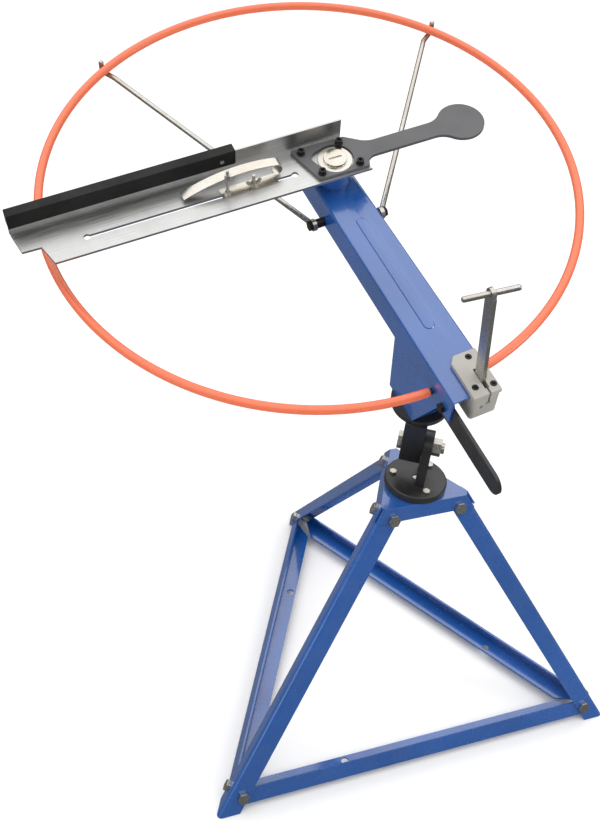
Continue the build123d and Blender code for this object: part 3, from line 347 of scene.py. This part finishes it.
# One finish for each material slot, and one for the tail plate alone
finishes = {
    "blue_paint": coatMaterial("bluePowderCoat", {
        "deep": (0.006, 0.082, 0.33), "light": (0.010, 0.098, 0.39), "scuff": (0.04, 0.14, 0.38),
        "roughLow": 0.2, "roughHigh": 0.34, "coat": 0.9, "coatRough": 0.1, "ior": 1.7, "peelScale": 420.0,
        "scuffLevel": 0.8, "bump": 0.16, "bumpDepth": 0.0004}),
    "black_paint": coatMaterial("blackCasting", {
        "deep": (0.012, 0.012, 0.013), "light": (0.022, 0.022, 0.023), "scuff": (0.09, 0.085, 0.08),
        "roughLow": 0.32, "roughHigh": 0.5, "coat": 0.2, "coatRough": 0.3, "peelScale": 260.0,
        "scuffLevel": 0.76, "bump": 0.35, "bumpDepth": 0.0006}),
    "tail_plate": coatMaterial("greyTailCoat", {
        "deep": (0.085, 0.086, 0.09), "light": (0.105, 0.106, 0.11), "scuff": (0.17, 0.17, 0.17),
        "roughLow": 0.38, "roughHigh": 0.55, "coat": 0.1, "coatRough": 0.4, "peelScale": 520.0,
        "scuffLevel": 0.78, "bump": 0.2, "bumpDepth": 0.0004}),
    "zinc_steel": grainMaterial("zincPlate", {
        "deep": (0.46, 0.455, 0.43), "light": (0.64, 0.635, 0.6), "stain": (0.5, 0.47, 0.4),
        "metallic": 1.0, "roughLow": 0.22, "roughHigh": 0.38, "streakScale": 500.0, "stretch": 0.4,
        "turn": headTurn, "bump": 0.12, "bumpDepth": 0.0003}),
    "bright_steel": grainMaterial("springStainless", {
        "deep": (0.56, 0.53, 0.48), "light": (0.72, 0.68, 0.62), "stain": (0.6, 0.55, 0.47),
        "metallic": 1.0, "roughLow": 0.14, "roughHigh": 0.26, "streakScale": 900.0, "stretch": 0.05,
        "turn": armTurn, "bump": 0.06, "bumpDepth": 0.0002}),
    "black_steel": grainMaterial("blackOxide", {
        "deep": (0.012, 0.012, 0.013), "light": (0.03, 0.03, 0.03), "stain": (0.03, 0.027, 0.024),
        "metallic": 0.6, "roughLow": 0.28, "roughHigh": 0.42, "streakScale": 500.0, "stretch": 0.6,
        "bump": 0.12, "bumpDepth": 0.0003}),
    "aluminium": grainMaterial("satinAluminium", {
        "deep": (0.5, 0.5, 0.495), "light": (0.68, 0.68, 0.67), "stain": (0.54, 0.54, 0.53),
        "metallic": 1.0, "roughLow": 0.3, "roughHigh": 0.46, "streakScale": 1200.0, "stretch": 0.012,
        "turn": armTurn, "bump": 0.18, "bumpDepth": 0.0003}),
    "rubber": coatMaterial("blackRubber", {
        "deep": (0.010, 0.010, 0.010), "light": (0.018, 0.018, 0.018), "scuff": (0.05, 0.05, 0.05),
        "roughLow": 0.5, "roughHigh": 0.72, "peelScale": 700.0, "scuffLevel": 0.78,
        "bump": 0.3, "bumpDepth": 0.0005, "specular": 0.22}),
    "orange_plastic": coatMaterial("orangeTube", {
        "deep": (0.72, 0.052, 0.014), "light": (0.82, 0.07, 0.02), "scuff": (0.95, 0.2, 0.09),
        "roughLow": 0.24, "roughHigh": 0.36, "coat": 0.25, "coatRough": 0.2, "peelScale": 160.0,
        "scuffLevel": 0.9, "bump": 0.06, "bumpDepth": 0.0003}),
    "black_plastic": coatMaterial("blackPlug", {
        "deep": (0.015, 0.015, 0.015), "light": (0.025, 0.025, 0.025), "scuff": (0.06, 0.06, 0.06),
        "roughLow": 0.4, "roughHigh": 0.55, "peelScale": 500.0, "scuffLevel": 0.8, "bump": 0.2,
        "bumpDepth": 0.0004}),
    "nylon": coatMaterial("offWhiteNylon", {
        "deep": (0.4, 0.38, 0.34), "light": (0.48, 0.465, 0.43), "scuff": (0.3, 0.27, 0.21),
        "roughLow": 0.4, "roughHigh": 0.55, "peelScale": 380.0, "scuffLevel": 0.72, "bump": 0.15,
        "bumpDepth": 0.0004}),
}
print("materials made:", len(finishes))


def addPiece(name, mesh, node, sharp):
    # one finished piece in place of one CAD node; edges past the angle sharp stay crisp
    mesh.shade_smooth()
    mesh.set_sharp_from_angle(angle=math.radians(sharp))
    mesh.materials.append(finishes[node if node in finishes else slotOf[node]])
    piece = bpy.data.objects.new(name, mesh)
    bpy.context.scene.collection.objects.link(piece)
    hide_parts(node)
    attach(piece, bodyOf[node])
    return piece


def tubeMesh(name, grid):
    # each row of the grid is a closed ring, joined to the next row, with a fan to its middle at both ends
    rows, steps = grid.shape[:2]
    index = np.arange(rows * steps).reshape(rows, steps)
    beside = np.roll(index, -1, axis=1)
    firstMiddle, lastMiddle = np.full(steps, rows * steps), np.full(steps, rows * steps + 1)
    quads = np.stack([index[:-1], beside[:-1], beside[1:], index[1:]], axis=-1).reshape(-1, 4)
    firstFan = np.stack([firstMiddle, beside[0], index[0]], axis=-1)
    lastFan = np.stack([lastMiddle, index[-1], beside[-1]], axis=-1)
    points = np.concatenate([grid.reshape(-1, 3), grid[[0, -1]].mean(axis=1)])
    mesh = bpy.data.meshes.new(name)
    mesh.from_pydata(points.tolist(), [], quads.tolist() + firstFan.tolist() + lastFan.tolist())
    edit = bmesh.new()
    edit.from_mesh(mesh)
    bmesh.ops.recalc_face_normals(edit, faces=edit.faces)
    edit.to_mesh(mesh)
    edit.free()
    return mesh


def pathFrames(path):
    # tangents by difference, and two cross directions carried along without twist
    startHint = (0.123, 0.456, 0.789)   # any direction that is not along the path
    ahead = np.gradient(path, axis=0)
    ahead /= np.linalg.norm(ahead, axis=1, keepdims=True)
    first = np.cross(ahead[0], startHint)
    crossways = [first / np.linalg.norm(first)]
    for direction in ahead[1:]:
        kept = crossways[-1] - direction * np.dot(crossways[-1], direction)
        crossways.append(kept / np.linalg.norm(kept))
    crossways = np.array(crossways)
    return crossways, np.cross(ahead, crossways)


def tubeGrid(path, radius, steps):
    # a circle of the given radius carried along the path
    crossways, upwards = pathFrames(path)
    turn = np.linspace(0, 2 * np.pi, steps, endpoint=False)[None, :, None]
    radius = np.broadcast_to(radius, len(path))[:, None, None]
    return path[:, None] + radius * (np.cos(turn) * crossways[:, None] + np.sin(turn) * upwards[:, None])


# "from" and "to" are degrees round the ring from straight ahead, and its gap is where the beam stands
ringSet = {
    "centreS": -0.369, "centreT": -0.0195, "height": -0.035, "radius": 0.401, "tube": 0.0065,
    "from": 8.45, "to": 357.50, "rows": 420, "steps": 28, "endShare": 0.86, "sharp": 60,
}


def makeRing(values):
    # an arc about the ring's centre, with the tube a little narrower at its two cut ends
    turn = np.radians(np.linspace(values["from"], values["to"], values["rows"]))
    path = onHead(values["centreS"] + values["radius"] * np.cos(turn),
                  values["centreT"] + values["radius"] * np.sin(turn),
                  np.full(turn.shape, values["height"]))
    size = np.full(values["rows"], values["tube"])
    size[[0, -1]] *= values["endShare"]
    mesh = tubeMesh("guardRingTube", tubeGrid(path, size, values["steps"]))
    addPiece("guardRingTube", mesh, "guard_ring", values["sharp"])


makeRing(ringSet)
print("ring made")

# Main spring under the beam: "from" and "to" are the coil's ends along s, and an eye is (place, radius)
springSet = {
    "from": -0.300, "to": -0.088, "height": -0.035, "coil": 0.0078, "wire": 0.00125,
    "turns": 78, "rowsPerTurn": 18, "steps": 8, "sharp": 60,
    "backEye": (-0.320, 0.0048), "frontEye": (-0.070, 0.0058), "eyeRows": 28, "eyeShare": 0.92,
}


def eyeLoop(centre, radius, values):
    # most of a circle about its pin, which starts on the side of +s, or of -s where the radius is negative
    turn = 2 * np.pi * np.linspace(0, 1, values["eyeRows"]) * values["eyeShare"]
    return onHead(centre + radius * np.cos(turn), radius * np.sin(turn), np.full(turn.shape, values["height"]))


def makeSpring(values):
    # a helix whose angle grows evenly along s, between two eyes that it runs straight into
    share = np.linspace(0, 1, values["turns"] * values["rowsPerTurn"])
    turn = 2 * np.pi * values["turns"] * share
    coil = onHead(values["from"] + (values["to"] - values["from"]) * share, values["coil"] * np.sin(turn),
                  values["height"] + values["coil"] * np.cos(turn))
    backAt, backRadius = values["backEye"]
    frontAt, frontRadius = values["frontEye"]
    back = eyeLoop(backAt, backRadius, values)[::-1]
    front = eyeLoop(frontAt, -frontRadius, values)
    path = np.concatenate([back, coil, front])
    mesh = tubeMesh("mainSpringWire", tubeGrid(path, values["wire"], values["steps"]))
    addPiece("mainSpringWire", mesh, "main_spring", values["sharp"])


makeSpring(springSet)
print("spring made")

# Width of the eased edge on each CAD piece: small on sheet and fasteners, wide on castings
easeWidths = {
    "leg_front_left": 0.0007, "leg_front_right": 0.0007, "leg_rear": 0.0007, "crossbar_front": 0.0007,
    "crossbar_right": 0.0007, "crossbar_left": 0.0007, "top_plate": 0.0009, "beam_channel": 0.0007,
    "mount_bracket": 0.0009, "swivel_base": 0.0014, "tilt_yoke": 0.0016, "lock_lever": 0.0007,
    "tail_plate": 0.0006, "throwing_arm": 0.0005, "trigger_block": 0.0009, "release_lever": 0.0006,
    "handle_bar": 0.0008, "hub_cap": 0.0005, "wing_nut": 0.0005, "plate_bolts": 0.0006,
    "foot_bolts": 0.0006, "plate_nuts": 0.0005, "foot_nuts": 0.0005, "tilt_bolt": 0.0009,
    "tilt_nut": 0.0008, "flange_bolts": 0.0005, "flange_nuts": 0.0005, "clamp_bolts": 0.0005,
    "stay_bolts": 0.0005, "stay_nuts": 0.0005, "lock_lever_bolt": 0.0005, "ring_screws": 0.0004,
    "tail_screws": 0.0005, "clip_nuts": 0.0004, "bearing_housing": 0.0006, "rubber_strip": 0.0009,
    "leaf_clip": 0.0002, "block_screws": 0.0003,
}
easeSet = {"weld": 0.00001, "flatAngle": 1.0, "edgeAngle": 34.0, "segments": 2}


def easedCopy(node, width, values):
    # the same shape as the CAD node with its sharp edges eased, as folded and machined edges are
    edit = bmesh.new()
    edit.from_mesh(frame["nodes"][node].data)
    bmesh.ops.remove_doubles(edit, verts=edit.verts, dist=values["weld"])
    bmesh.ops.dissolve_limit(edit, angle_limit=math.radians(values["flatAngle"]),
                             verts=edit.verts, edges=edit.edges)
    mesh = bpy.data.meshes.new(node + "Eased")
    edit.to_mesh(mesh)
    edit.free()
    piece = addPiece(node + "Eased", mesh, node, values["edgeAngle"])
    bevel = piece.modifiers.new("edge", "BEVEL")
    bevel.width = width
    bevel.segments = values["segments"]
    bevel.limit_method = "ANGLE"
    bevel.angle_limit = math.radians(values["edgeAngle"])
    bevel.harden_normals = True
    bevel.use_clamp_overlap = True


for node, width in easeWidths.items():
    easedCopy(node, width, easeSet)
print("eased", len(easeWidths), "pieces")

# The CAD nodes that stay visible take the finish of their own slot
for node, piece in frame["nodes"].items():
    if node in slotOf:
        piece.data.materials.clear()
        piece.data.materials.append(finishes[slotOf[node]])
print("finishes set")
